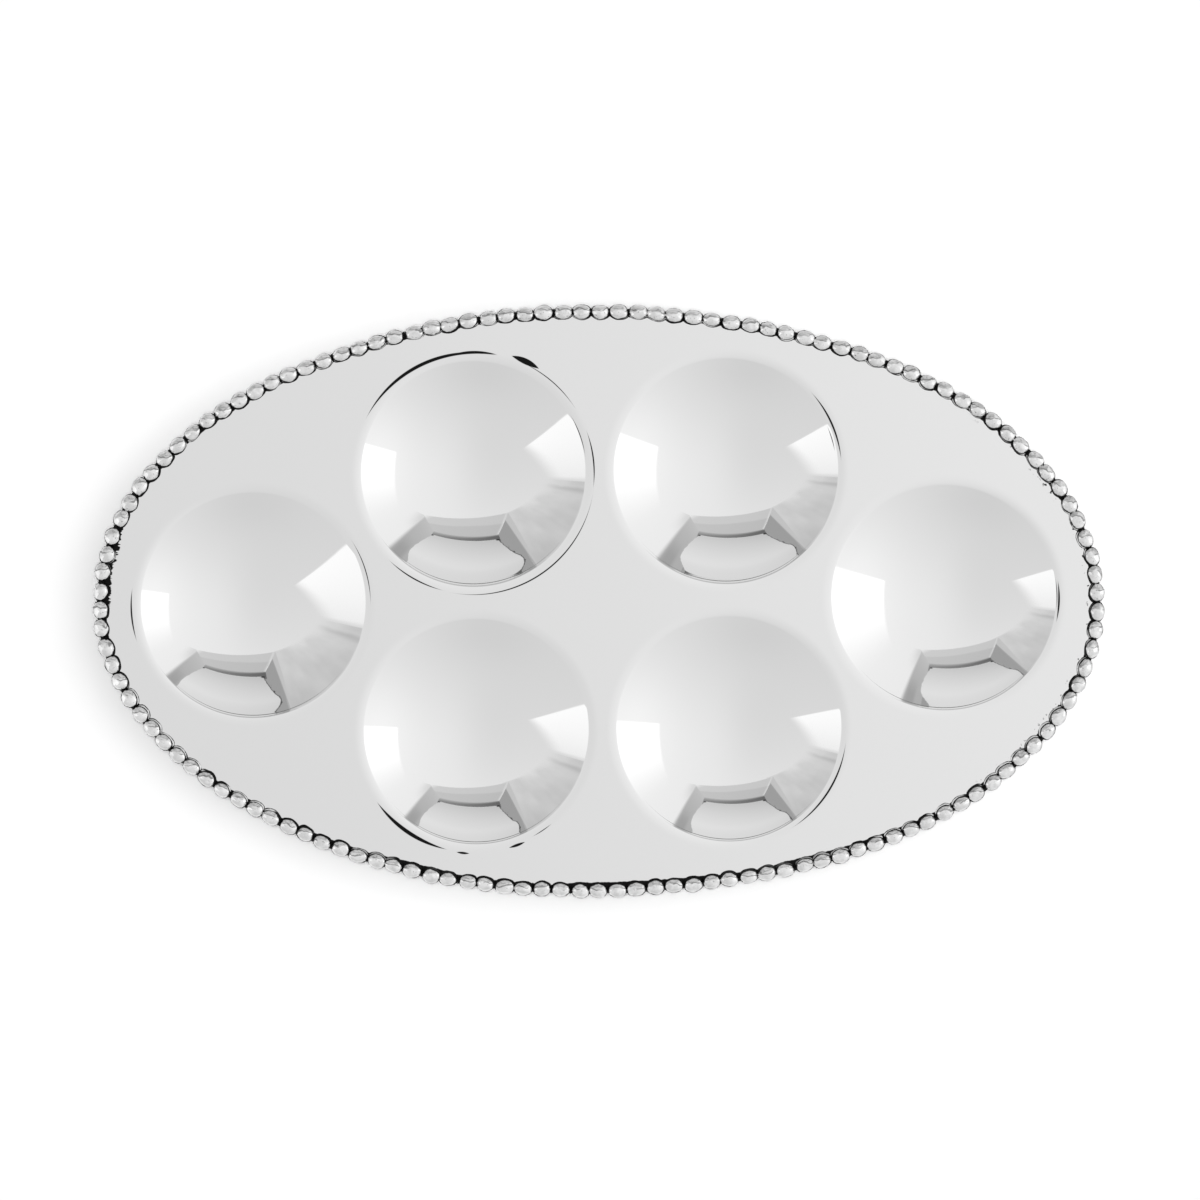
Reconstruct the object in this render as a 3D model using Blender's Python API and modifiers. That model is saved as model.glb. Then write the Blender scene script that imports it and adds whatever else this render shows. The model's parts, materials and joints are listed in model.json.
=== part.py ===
"""Oval seder plate with six dished wells and a beaded border, in metres with +Z up.

The tray is one shell that stands on small flats ground under its wells. The border is a
three-quarter round beaded moulding in lengths, and each length hooks over the tray's edge.
"""

import bisect
import math

import bmesh
import bpy

OBJECT_NAME = "seder_plate"

# Wells
WELL_MOUTH_DIAMETER = 0.104
WELL_DEPTH = 0.0215
LIP_RADIUS = 0.0054
WALL = 0.003
FOOT_FLAT_DIAMETER = 0.022

# Bare plate left between the mouths of the wells, and between them and the border
LAND_MIDDLE_ALONG = 0.0058
LAND_MIDDLE_ACROSS = 0.0080
LAND_END = 0.0064
LAND_BORDER_END = 0.0114
LAND_BORDER_SIDE = 0.0105
WELL_PATTERN_TURN = math.radians(0.8)

# Beaded border
BEAD_WIDTH = 0.0065
BEAD_LENGTH = 0.0078
BEAD_PITCH = 0.00817
BEAD_FULLNESS = 2.5
NECK_WIDTH = 0.0026
LENGTHS_PER_HALF = 4
SEAT_GAP = 0.0003
JOINT_GAP = 0.0003

# Facets
WELL_SEGMENTS = 32
LIP_STEPS = 2
BOWL_STEPS = 5
SECTION_STEPS = 6
BEAD_SHOULDER = 0.62
OVAL_STEPS = 7200
WELD = 0.00001

# Worked out from the sizes above
MOUTH_RADIUS = WELL_MOUTH_DIAMETER / 2
STEEPEST = 2 * math.atan(WELL_DEPTH / MOUTH_RADIUS)
BOWL_RADIUS = MOUTH_RADIUS / math.sin(STEEPEST) - LIP_RADIUS
UNDERSIDE_RADIUS = BOWL_RADIUS + WALL
FOOT_GRIND = UNDERSIDE_RADIUS - math.sqrt(UNDERSIDE_RADIUS**2 - (FOOT_FLAT_DIAMETER / 2) ** 2)
PLATE_TOP = WELL_DEPTH + WALL - FOOT_GRIND
MIDDLE_X = MOUTH_RADIUS + LAND_MIDDLE_ALONG / 2
MIDDLE_Y = MOUTH_RADIUS + LAND_MIDDLE_ACROSS / 2
END_X = MIDDLE_X + math.sqrt((WELL_MOUTH_DIAMETER + LAND_END) ** 2 - MIDDLE_Y**2)
INNER_HALF_LENGTH = END_X + MOUTH_RADIUS + LAND_BORDER_END
INNER_HALF_WIDTH = (MIDDLE_Y + MOUTH_RADIUS + LAND_BORDER_SIDE) / math.sqrt(
    1 - (MIDDLE_X / INNER_HALF_LENGTH) ** 2
)
BORDER_HALF_LENGTH = INNER_HALF_LENGTH + BEAD_WIDTH / 2
BORDER_HALF_WIDTH = INNER_HALF_WIDTH + BEAD_WIDTH / 2


class Oval:
    """An ellipse measured along its own length, counter-clockwise from its +X end."""

    def __init__(self, half_length, half_width):
        self.half_length = half_length
        self.half_width = half_width
        self.distances = [0.0]
        for step in range(OVAL_STEPS):
            stride = math.dist(self.turn(step), self.turn(step + 1))
            self.distances.append(self.distances[-1] + stride)
        self.perimeter = self.distances[-1]

    def turn(self, step):
        """Point at a step round the oval, with OVAL_STEPS steps to a full turn."""
        angle = math.tau * step / OVAL_STEPS
        return (self.half_length * math.cos(angle), self.half_width * math.sin(angle))

    def at(self, distance):
        """Point at a distance along the oval."""
        distance = distance % self.perimeter
        step = bisect.bisect_right(self.distances, distance) - 1
        stride = self.distances[step + 1] - self.distances[step]
        return self.turn(step + (distance - self.distances[step]) / stride)


def clear_scene():
    for item in list(bpy.data.objects):
        bpy.data.objects.remove(item, do_unlink=True)


def new_collection(name):
    collection = bpy.data.collections.new(name)
    bpy.context.scene.collection.children.link(collection)
    return collection


def metal(name, colour, roughness):
    material = bpy.data.materials.new(name)
    material.use_nodes = True
    shader = material.node_tree.nodes["Principled BSDF"]
    shader.inputs["Base Color"].default_value = (*colour, 1.0)
    shader.inputs["Metallic"].default_value = 1.0
    shader.inputs["Roughness"].default_value = roughness
    return material


def add_part(name, mesh, material, collection, holder, height):
    part = bpy.data.objects.new(name, mesh)
    part.location.z = height
    part.parent = holder
    mesh.materials.append(material)
    collection.objects.link(part)
    return part


def well_centres():
    """Centres of the six wells: one at each end and two pairs between them."""
    layout = [(END_X, 0.0), (-END_X, 0.0)]
    layout += [(x, y) for x in (MIDDLE_X, -MIDDLE_X) for y in (MIDDLE_Y, -MIDDLE_Y)]
    cosine = math.cos(WELL_PATTERN_TURN)
    sine = math.sin(WELL_PATTERN_TURN)
    return [(x * cosine - y * sine, x * sine + y * cosine) for x, y in layout]


def well_profile():
    """Polished face of a well from its mouth to its middle, as radius and height off the plate."""
    profile = []
    for step in range(LIP_STEPS):
        slope = STEEPEST * step / LIP_STEPS
        radius = MOUTH_RADIUS - LIP_RADIUS * math.sin(slope)
        profile.append((radius, -LIP_RADIUS * (1 - math.cos(slope))))
    for step in range(BOWL_STEPS + 1):
        slope = STEEPEST * (1 - step / BOWL_STEPS)
        height = BOWL_RADIUS * (1 - math.cos(slope)) - WELL_DEPTH
        profile.append((BOWL_RADIUS * math.sin(slope), height))
    return profile


def spin_well(bm, centre):
    """Turn the well's profile round its own upright axis."""
    x, y = centre
    verts = [bm.verts.new((x + radius, y, height)) for radius, height in well_profile()]
    edges = [bm.edges.new(pair) for pair in zip(verts, verts[1:])]
    bmesh.ops.spin(
        bm,
        geom=verts + edges,
        cent=(x, y, 0.0),
        axis=(0.0, 0.0, 1.0),
        angle=math.tau,
        steps=WELL_SEGMENTS,
        use_merge=True,
    )


def add_edge_loop(bm, points):
    verts = [bm.verts.new((x, y, 0.0)) for x, y in points]
    for first, second in zip(verts, verts[1:] + verts[:1]):
        bm.edges.new((first, second))


def tray_surface(edge_points):
    """Open polished face of the tray: six wells in a flat oval."""
    mesh = bpy.data.meshes.new("tray_surface")
    bm = bmesh.new()
    for centre in well_centres():
        spin_well(bm, centre)
    bmesh.ops.remove_doubles(bm, verts=bm.verts, dist=WELD)
    add_edge_loop(bm, edge_points)
    open_edges = [edge for edge in bm.edges if len(edge.link_faces) < 2]
    bmesh.ops.triangle_fill(bm, edges=open_edges, use_beauty=True)
    bmesh.ops.recalc_face_normals(bm, faces=bm.faces)
    if sum(face.normal.z for face in bm.faces) < 0:
        bmesh.ops.reverse_faces(bm, faces=bm.faces)
    bm.to_mesh(mesh)
    bm.free()
    return mesh


def floor_cutter(collection):
    """Block below the table's level, which grinds the flats under the wells."""
    mesh = bpy.data.meshes.new("foot_cutter")
    bm = bmesh.new()
    bmesh.ops.create_cube(bm, size=1.0)
    bm.to_mesh(mesh)
    bm.free()
    cutter = bpy.data.objects.new("foot_cutter", mesh)
    cutter.scale = (2 * BORDER_HALF_LENGTH, 2 * BORDER_HALF_WIDTH, WELL_DEPTH)
    cutter.location.z = -WELL_DEPTH / 2
    cutter.hide_render = True
    cutter.display_type = "WIRE"
    collection.objects.link(cutter)
    return cutter


def make_tray(edge_points, parts, cutters, holder):
    material = metal("polished_aluminium", (0.91, 0.91, 0.92), 0.06)
    tray = add_part("tray_body", tray_surface(edge_points), material, parts, holder, PLATE_TOP)
    shell = tray.modifiers.new("wall", "SOLIDIFY")
    shell.thickness = WALL
    shell.offset = -1.0
    shell.use_even_offset = True
    feet = tray.modifiers.new("foot_flats", "BOOLEAN")
    feet.operation = "DIFFERENCE"
    feet.solver = "EXACT"
    feet.object = floor_cutter(cutters)


def border_section(collection):
    """Section of the border at unit radius: three quarters of a round about its rebate's corner."""
    curve = bpy.data.curves.new("border_section", "CURVE")
    curve.dimensions = "2D"
    spline = curve.splines.new("POLY")
    spline.points.add(SECTION_STEPS + 1)
    for step in range(SECTION_STEPS + 1):
        angle = math.pi * (1.5 * step / SECTION_STEPS - 0.5)
        spline.points[step].co = (math.cos(angle), math.sin(angle), 0.0, 1.0)
    spline.points[-1].co = (0.0, 0.0, 0.0, 1.0)
    spline.use_cyclic_u = True
    section = bpy.data.objects.new("border_section", curve)
    collection.objects.link(section)
    return section


def bead_stations(first_bead, bead_total, pitch):
    """Distances along a border length, each with the moulding's radius there."""
    neck = NECK_WIDTH / 2
    crest = BEAD_WIDTH / 2
    shoulder = crest * (1 - BEAD_SHOULDER**BEAD_FULLNESS) ** (1 / BEAD_FULLNESS)
    reach = BEAD_SHOULDER * BEAD_LENGTH / 2
    stations = [(first_bead * pitch + JOINT_GAP / 2, neck)]
    for bead in range(first_bead, first_bead + bead_total):
        middle = (bead + 0.5) * pitch
        stations += [(middle - reach, shoulder), (middle, crest), (middle + reach, shoulder)]
        stations.append(((bead + 1) * pitch, neck))
    stations[-1] = (stations[-1][0] - JOINT_GAP / 2, neck)
    return stations


def border_mesh(name, section, oval, stations, collection):
    """Sweep the section along the oval, swelling at each bead, as one closed body."""
    curve = bpy.data.curves.new(name, "CURVE")
    curve.dimensions = "3D"
    curve.twist_mode = "Z_UP"
    curve.bevel_mode = "OBJECT"
    curve.bevel_object = section
    curve.use_fill_caps = True
    spline = curve.splines.new("POLY")
    spline.points.add(len(stations) - 1)
    for point, (distance, radius) in zip(spline.points, stations):
        point.co = (*oval.at(distance), 0.0, 1.0)
        point.radius = radius
    sweep = bpy.data.objects.new(name + "_sweep", curve)
    collection.objects.link(sweep)
    graph = bpy.context.evaluated_depsgraph_get()
    mesh = bpy.data.meshes.new_from_object(sweep.evaluated_get(graph))
    bpy.data.objects.remove(sweep, do_unlink=True)
    bm = bmesh.new()
    bm.from_mesh(mesh)
    bmesh.ops.remove_doubles(bm, verts=bm.verts, dist=WELD)
    bmesh.ops.recalc_face_normals(bm, faces=bm.faces)
    bm.to_mesh(mesh)
    bm.free()
    mesh.name = name
    return mesh


def beads_in_lengths(bead_total):
    """Bead counts of the lengths from the +X end round, the same on both halves."""
    half = bead_total // 2
    marks = [half * step // LENGTHS_PER_HALF for step in range(LENGTHS_PER_HALF + 1)]
    counts = [end - start for start, end in zip(marks, marks[1:])]
    return counts + counts


def make_border(oval, bead_total, parts, cutters, holder):
    material = metal("antiqued_aluminium", (0.80, 0.80, 0.80), 0.18)
    section = border_section(cutters)
    pitch = oval.perimeter / bead_total
    first_bead = 0
    for number, count in enumerate(beads_in_lengths(bead_total), start=1):
        name = f"bead_border_{number}"
        stations = bead_stations(first_bead, count, pitch)
        mesh = border_mesh(name, section, oval, stations, cutters)
        add_part(name, mesh, material, parts, holder, PLATE_TOP + SEAT_GAP)
        first_bead += count
    bpy.data.objects.remove(section, do_unlink=True)


def main():
    clear_scene()
    parts = new_collection(OBJECT_NAME)
    cutters = new_collection("cutters")
    holder = bpy.data.objects.new(OBJECT_NAME, None)
    parts.objects.link(holder)
    border = Oval(BORDER_HALF_LENGTH, BORDER_HALF_WIDTH)
    bead_total = 2 * round(border.perimeter / BEAD_PITCH / 2)
    edge = Oval(BORDER_HALF_LENGTH - SEAT_GAP, BORDER_HALF_WIDTH - SEAT_GAP)
    stride = edge.perimeter / bead_total
    edge_points = [edge.at(number * stride) for number in range(bead_total)]
    make_tray(edge_points, parts, cutters, holder)
    make_border(border, bead_total, parts, cutters, holder)


main()
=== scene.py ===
"""Looks of the oval seder plate: its polished tray, its antiqued beaded border and a plain studio."""

import json
import math

import bmesh
import bpy
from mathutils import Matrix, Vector


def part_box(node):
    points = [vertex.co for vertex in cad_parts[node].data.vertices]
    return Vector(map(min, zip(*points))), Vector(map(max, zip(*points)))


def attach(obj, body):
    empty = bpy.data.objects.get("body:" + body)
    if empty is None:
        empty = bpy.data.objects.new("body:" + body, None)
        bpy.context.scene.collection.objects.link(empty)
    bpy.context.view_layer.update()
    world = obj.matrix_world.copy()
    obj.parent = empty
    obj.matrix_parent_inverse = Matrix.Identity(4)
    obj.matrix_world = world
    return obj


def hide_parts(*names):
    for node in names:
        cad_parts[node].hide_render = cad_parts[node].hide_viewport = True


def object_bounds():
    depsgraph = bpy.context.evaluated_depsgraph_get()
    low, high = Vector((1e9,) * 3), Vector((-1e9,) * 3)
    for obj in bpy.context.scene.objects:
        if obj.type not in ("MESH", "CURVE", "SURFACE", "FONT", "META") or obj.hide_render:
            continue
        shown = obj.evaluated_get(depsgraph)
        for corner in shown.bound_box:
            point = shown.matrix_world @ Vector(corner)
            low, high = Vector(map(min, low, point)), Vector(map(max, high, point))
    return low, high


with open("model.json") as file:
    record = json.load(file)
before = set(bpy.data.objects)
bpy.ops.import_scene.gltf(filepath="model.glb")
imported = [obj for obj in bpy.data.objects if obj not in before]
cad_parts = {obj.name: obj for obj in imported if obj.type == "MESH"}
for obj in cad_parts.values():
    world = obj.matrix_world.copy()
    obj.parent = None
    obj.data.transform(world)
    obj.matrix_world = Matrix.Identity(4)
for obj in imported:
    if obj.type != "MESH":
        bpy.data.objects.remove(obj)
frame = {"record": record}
cad_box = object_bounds()

# Sizes of the tray, in metres; the slopes of the wells are read from what they mirror in the photograph
BOWL_RADIUS = 0.0695
WELL_SIDE_RADIUS = 0.0420
WELL_LIP_RADIUS = 0.0484
WELL_MOUTH_RADIUS = 0.0534
WELL_STEEPEST = math.radians(41.9)
SIDE_EASING = 1.4
MIDDLE_WELLS_SHIFT = 0.0011
WALL = 0.003
FOOT_DEEPENING = 0.00067
SEAT_GAP = 0.0003

# Sizes of the border, in metres
BEAD_WIDTH = 0.0065
BEAD_LENGTH = 0.0084
NECK_WIDTH = 0.0026
COLLAR_HEIGHT = 0.0007
COLLAR_SHIFT = 0.0012
COLLAR_SINK = 0.9 * SEAT_GAP
COLLAR_REACH = 0.0004
COLLAR_REACH_IN_FRONT = 0.0003
BEADS_IN_LENGTHS = [16, 17, 17, 17, 16, 17, 17, 17]
BEAD_SEED = 7

# Shape of a bead as shares of its width: across it, more so at the two ends of the oval, and up. The collar's
# length is a share of the bead's
BEAD_ACROSS = 0.96
BEAD_ACROSS_LEFT = 0.06
BEAD_ACROSS_RIGHT = 0.03
BEAD_UP = 0.87
COLLAR_LENGTH = 1.02

# How far beads stray: along as a share of their pitch, outwards in metres, round in radians, then their size
# as shares and the reach of their collars in metres. Dents have a size in metres and a fineness
STRAY_ALONG = 0.05
STRAY_OUTWARDS = 0.0003
STRAY_TURN = 0.10
STRAY_LENGTH = 0.05
STRAY_WIDTH = 0.05
STRAY_HEIGHT = 0.03
STRAY_COLLAR = 0.0002
DENT_SIZE = 0.0010
DENT_SCALE = 230.0

# Height stored on collars and place stored on necks, which no bead has
COLLAR_MARK = -2.0
NECK_PLACE = (2.0, 0.0, 0.0)

# Wander of the border off a true oval as waves that go once round it, twice and so on: the height of each in
# metres, and the angle in degrees at which it crests
BORDER_WAVES = [
    (0.00040, -30),
    (0.00020, 35),
    (0.00015, 70),
    (0.00020, 55),
    (0.00035, 35),
    (0.00010, 20),
    (0.00025, -5),
]

# Hairlines of black on the lips: well, middle and half angle in degrees, radius and half width in metres
LIP_HAIRLINE_ARCS = [
    ("rest_left", 185, 12, 0.0528, 0.00035),
    ("rest_left", 17, 15, 0.0511, 0.0002),
    ("rest_back_left", 116, 36, 0.0522, 0.00075),
    ("rest_back_left", 89, 10, 0.0525, 0.0006),
    ("rest_back_left", 65, 7, 0.0536, 0.0013),
    ("rest_back_left", 50, 16, 0.0525, 0.0002),
    ("rest_back_left", 20, 10, 0.0492, 0.00018),
    ("rest_back_left", 7, 13, 0.0525, 0.0003),
    ("rest_back_left", -55, 42, 0.0527, 0.0003),
    ("rest_back_left", -119, 14, 0.0525, 0.0003),
    ("rest_back_right", 24, 18, 0.0501, 0.0004),
    ("rest_back_right", 17, 6, 0.0479, 0.00016),
    ("rest_right", -2, 10, 0.0498, 0.0004),
    ("rest_right", 2, 7, 0.0489, 0.00016),
    ("rest_front_left", -56, 5, 0.0518, 0.00018),
    ("rest_front_left", -70, 4, 0.0525, 0.0006),
    ("rest_front_left", -96, 3, 0.0531, 0.0005),
    ("rest_front_left", -124, 20, 0.0528, 0.00085),
    ("rest_front_right", -32, 24, 0.0510, 0.0004),
]
# Painted reflection: a faint dark arc low on the rim of every well towards the front, as middle and half
# angle in degrees, radius and half width in metres
PAINTED_REFLECTION_ARC = (-88, 40, 0.0480, 0.0001)
HAIRLINE_SOFTNESS = 0.00012

# Black on the plate beside the beads, in metres inwards from the middle line of the border
SEAM_REACH = 0.0010
SEAM_SCALLOPS = 0.0014
SEAM_TEETH = 0.0003
SEAM_NICKS = 0.0008
SEAM_IN_FRONT = 0.0001
SEAM_PATCHES_IN_FRONT = 0.0012
SEAM_AT_LEFT = 0.0012
SEAM_TEETH_AT_LEFT = 0.0013
SPECKS_FADE = 0.0035
SPECKS_END = 0.0055

# Fineness of the meshes
WELL_SEGMENTS = 160
BOWL_STEPS = 18
SIDE_STEPS = 6
LIP_STEPS = 18
LIP_CROWDING = 1.8
FLAT_MARGIN = 0.0006
MERGE_DISTANCE = 1e-6
EDGE_STEPS_PER_BEAD = 4
SHARP_ANGLE = math.radians(35)
OVAL_STEPS = 1440
BEAD_SEGMENTS = 24
BEAD_RINGS = 16
COLLAR_RINGS = 8
NECK_STEPS_PER_BEAD = 4
NECK_SECTION_STEPS = 13

# Photograph, in pixels, and camera, in metres with its sensor in millimetres
PHOTO_PIXELS = 1200
PHOTO_HALF_LENGTH = 506.6
PHOTO_CENTRE = (598.6, 600.9)
PHOTO_TURN = math.radians(0.17)
CAMERA_DISTANCE = 4.0
CAMERA_REACH = 20.0
SENSOR_WIDTH = 36.0

# Studio: places in metres from the middle of the plate on the table, and the tone of the floor
TENT_RADIUS = 1.0
TABLE_CORNERS = [(-6, -6, 0), (6, -6, 0), (6, 6, 0), (-6, 6, 0)]
GLOW_MIDDLE = (0.74, -0.06, 0.24)
SHADOW_MIDDLE = (-0.15, -0.96, 0.25)
SOFTBOX_FRONT = (0.505, -0.097)
SOFTBOX_BACK = (0.505, 0.51)
SOFTBOX_HEIGHT = 0.40
REFLECTOR_CORNERS = [(-0.71, 0.11, 0.0), (-0.365, -0.145, 0.0), (-0.514, -0.166, 0.66), (-0.776, 0.119, 0.66)]
BOARD_CORNERS = [(-0.4, 0.44, 0.0), (0.4, 0.44, 0.0), (0.4, 0.594, 0.528), (-0.4, 0.594, 0.528)]
RECESS_LEFT = -0.288
RECESS_RIGHT = 0.304
RECESS_FOOT = 0.606
RECESS_BACK = 0.608
RECESS_TOP = 0.552
RIGHT_CHEEK_FRONT = (0.373, 0.3035)
RIGHT_CHEEK_DEPTH = 0.312
LEFT_CHEEK_FOOT = (-0.34, 0.468, 0.0)
CEILING_FRONT_LEFT = (-0.357, 0.395, 0.602)
CEILING_FRONT_RIGHT = (0.355, 0.41, 0.533)
CLOTH_BACK = (-0.337, 0.471)
CLOTH_FRONT = (-0.715, 0.112)
CLOTH_HEIGHT = 0.70
FLOOR_TONE = 0.8

# Heights on the board run from 0 to its rise; a pin has a place across it, a height and a size
BOARD_RISE = 0.66
BOARD_PINS = [(0.185, 0.566, 0.020), (0.842, 0.584, 0.014)]

# Taken from the frame
PLATE_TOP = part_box("tray_body")[1][2]
HALF_LENGTH = cad_box[1][0]
HALF_WIDTH = cad_box[1][1]
LINE_LENGTH = HALF_LENGTH - BEAD_WIDTH / 2
LINE_WIDTH = HALF_WIDTH - BEAD_WIDTH / 2
BEADS_AROUND = sum(BEADS_IN_LENGTHS)


def well_centre(mount):
    """Middle of the well above a mount; the four middle ones lie a little to the right in the photograph."""
    x, y, _ = mount["pos_m"]
    return (x + MIDDLE_WELLS_SHIFT, y) if abs(x) < LINE_LENGTH / 2 else (x, y)


WELL_CENTRES = {mount["name"]: well_centre(mount) for mount in frame["record"]["mounts"]}


class Wire:
    """A node socket that takes part in Python sums."""

    def __init__(self, graph, socket):
        self.graph = graph
        self.socket = socket

    def math(self, operation, *values):
        return self.graph.add("ShaderNodeMath", {"operation": operation}, dict(enumerate(values)))

    def out(self, name):
        """Another output of the same node."""
        return Wire(self.graph, self.graph.pick(self.socket.node.outputs, name))

    def __add__(self, other):
        return self.math("ADD", self, other)

    def __radd__(self, other):
        return self.math("ADD", other, self)

    def __sub__(self, other):
        return self.math("SUBTRACT", self, other)

    def __rsub__(self, other):
        return self.math("SUBTRACT", other, self)

    def __mul__(self, other):
        return self.math("MULTIPLY", self, other)

    def __rmul__(self, other):
        return self.math("MULTIPLY", other, self)

    def __truediv__(self, other):
        return self.math("DIVIDE", self, other)

    def __rtruediv__(self, other):
        return self.math("DIVIDE", other, self)

    def __pow__(self, other):
        return self.math("POWER", self, other)

    def __neg__(self):
        return self.math("MULTIPLY", self, -1.0)

    def __abs__(self):
        return self.math("ABSOLUTE", self)

    def over(self, limit):
        return self.math("GREATER_THAN", self, limit)

    def least(self, other):
        return self.math("MINIMUM", self, other)

    def most(self, other):
        return self.math("MAXIMUM", self, other)

    def ramp(self, low, high):
        """Smooth step that is 0 at low and 1 at high."""
        inputs = {0: self, 1: low, 2: high, 3: 0.0, 4: 1.0}
        return self.graph.add("ShaderNodeMapRange", {"interpolation_type": "SMOOTHSTEP"}, inputs)

    def parts(self):
        """X, Y and Z of a vector."""
        split = self.graph.add("ShaderNodeSeparateXYZ", inputs={0: self})
        return split, split.out("Y"), split.out("Z")


class Graph:
    """A node tree that is filled from Python."""

    def __init__(self, tree):
        self.tree = tree

    @staticmethod
    def pick(sockets, key):
        """Socket by place, or the first one in use with a name."""
        if isinstance(key, int):
            return sockets[key]
        return next(socket for socket in sockets if socket.name == key and socket.enabled)

    def add(self, kind, settings=None, inputs=None, output=None):
        """Add a node: its settings first, then the values or links of its sockets."""
        node = self.tree.nodes.new(kind)
        for name, value in (settings or {}).items():
            setattr(node, name, value)
        for key, value in (inputs or {}).items():
            socket = self.pick(node.inputs, key)
            if isinstance(value, Wire):
                self.tree.links.new(value.socket, socket)
            else:
                socket.default_value = value
        if not node.outputs:
            return node
        shown = next(place for place, socket in enumerate(node.outputs) if socket.enabled)
        return Wire(self, self.pick(node.outputs, shown if output is None else output))


def new_material(name):
    """Material with a metal shader, its graph and the shader's node."""
    material = bpy.data.materials.new(name)
    material.use_nodes = True
    graph = Graph(material.node_tree)
    shader = material.node_tree.nodes["Principled BSDF"]
    shader.inputs["Metallic"].default_value = 1.0
    return material, graph, shader


def feed(graph, shader, **wires):
    """Link wires to a shader's sockets, whose names have a space where the keyword has _."""
    for name, wire in wires.items():
        graph.tree.links.new(wire.socket, shader.inputs[name.replace("_", " ")])


def blend(graph, factor, first, second):
    """Mix of two colours."""
    settings = {"data_type": "RGBA"}
    return graph.add("ShaderNodeMix", settings, {"Factor": factor, "A": first, "B": second})


def grey(value):
    return (value, value, value, 1.0)


def place_on_piece(graph):
    return graph.add("ShaderNodeTexCoord", output="Object")


def noise(graph, place, scale, detail=2.0, roughness=0.5):
    inputs = {"Vector": place, "Scale": scale, "Detail": detail, "Roughness": roughness}
    return graph.add("ShaderNodeTexNoise", inputs=inputs)


def bump(graph, height, distance, strength=1.0):
    inputs = {"Height": height, "Distance": distance, "Strength": strength}
    return graph.add("ShaderNodeBump", inputs=inputs)


def border_wander(x, y):
    """How far the border lies outside a true oval at a point of the unit circle, as numbers or wires."""
    out, cosine, sine = 0.0, x, y
    for count, (height, crest) in enumerate(BORDER_WAVES, start=1):
        turn = math.radians(count * crest)
        out = out + height * math.cos(turn) * cosine + height * math.sin(turn) * sine
        cosine, sine = cosine * x - sine * y, sine * x + cosine * y
    return out


def oval_point(x, y, length=LINE_LENGTH, width=LINE_WIDTH, inset=0.0):
    """Point of the border's middle line, or of a line set in from it, for a point of the unit circle."""
    lean_x, lean_y = x / length, y / width
    out = (border_wander(x, y) - inset) / (lean_x**2.0 + lean_y**2.0) ** 0.5
    return length * x + out * lean_x, width * y + out * lean_y


def inside_line(x, y):
    """Distance of a point from the border's middle line, counted inwards."""
    level = (x / LINE_LENGTH) ** 2.0 + (y / LINE_WIDTH) ** 2.0
    slope = ((x / LINE_LENGTH**2) ** 2.0 + (y / LINE_WIDTH**2) ** 2.0) ** 0.5
    return (1.0 - level) / (2.0 * slope)


def lip_hairlines_and_painted_reflection(x, y):
    """Dark hairlines on the lips of the wells, and in the front of each a faint arc that is a painted
    reflection.
    """
    black = None
    # The front arcs are a painted reflection of a dark line along each rim
    painted_reflection_arcs = [(name, *PAINTED_REFLECTION_ARC) for name in WELL_CENTRES]
    for name, middle, half, radius, half_width in LIP_HAIRLINE_ARCS + painted_reflection_arcs:
        centre_x, centre_y = WELL_CENTRES[name]
        turn = math.radians(middle)
        off_x, off_y = x - centre_x, y - centre_y
        ahead = off_x * math.cos(turn) + off_y * math.sin(turn)
        aside = off_y * math.cos(turn) - off_x * math.sin(turn)
        swell = 1.0 - (aside.math("ARCTAN2", aside, ahead) / math.radians(half)) ** 2.0
        from_arc = abs((off_x**2.0 + off_y**2.0) ** 0.5 - radius)
        line = (half_width * swell - from_arc).ramp(-HAIRLINE_SOFTNESS, HAIRLINE_SOFTNESS)
        black = line if black is None else black.most(line)
    return black


def border_seam(graph, place, x, y):
    """Black on the plate beside the beads: patches in front, teeth at the left end, specks at the right."""
    along, aside = x / LINE_LENGTH, y / LINE_WIDTH
    level = (along**2.0 + aside**2.0) ** 0.5
    inside = inside_line(x, y) + border_wander(along / level, aside / level)
    front = (-aside).ramp(0.6, 0.9)
    left = (-x).over(0.0) * y.ramp(-0.010, 0.0) * (1.0 - y.ramp(0.022, 0.036))
    right = along.ramp(0.70, 0.92)
    round_oval = x.math("ARCTAN2", aside, along)
    teeth = noise(graph, vector(graph, round_oval * 55.0, inside * 90.0, 0.0), 1.6, 3.0, 0.7)
    patches = noise(graph, place, 28.0, 1.0).ramp(0.35, 0.65)
    scallops = noise(graph, place, 130.0, 2.0)
    nicks = noise(graph, place, 500.0, 2.0)
    reach = SEAM_REACH + SEAM_SCALLOPS * scallops + SEAM_TEETH * teeth + SEAM_NICKS * nicks
    reach = reach + front * (SEAM_IN_FRONT + SEAM_PATCHES_IN_FRONT * patches)
    reach = reach + left * (SEAM_AT_LEFT + SEAM_TEETH_AT_LEFT * teeth.ramp(0.38, 0.62))
    band = 1.0 - (inside - reach).ramp(-0.0001, 0.0002)
    specks = noise(graph, place, 620.0, 1.0).ramp(0.66, 0.70)
    near = 1.0 - inside.ramp(SPECKS_FADE, SPECKS_END)
    return band.most(specks * near * right)


def polished_metal():
    """Hand-polished face of the tray."""
    material, graph, shader = new_material("polished_tray")
    place = place_on_piece(graph)
    x, y, _ = place.parts()
    black = lip_hairlines_and_painted_reflection(x, y).most(border_seam(graph, place, x, y))
    haze = noise(graph, place, 9.0, 3.0)
    feed(
        graph,
        shader,
        Base_Color=blend(graph, black, grey(0.91), grey(0.012)),
        Roughness=0.022 + 0.02 * haze + 0.45 * black,
        Normal=bump(graph, noise(graph, place, 14.0, 2.0), 0.0002, 0.25),
    )
    return material


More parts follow.
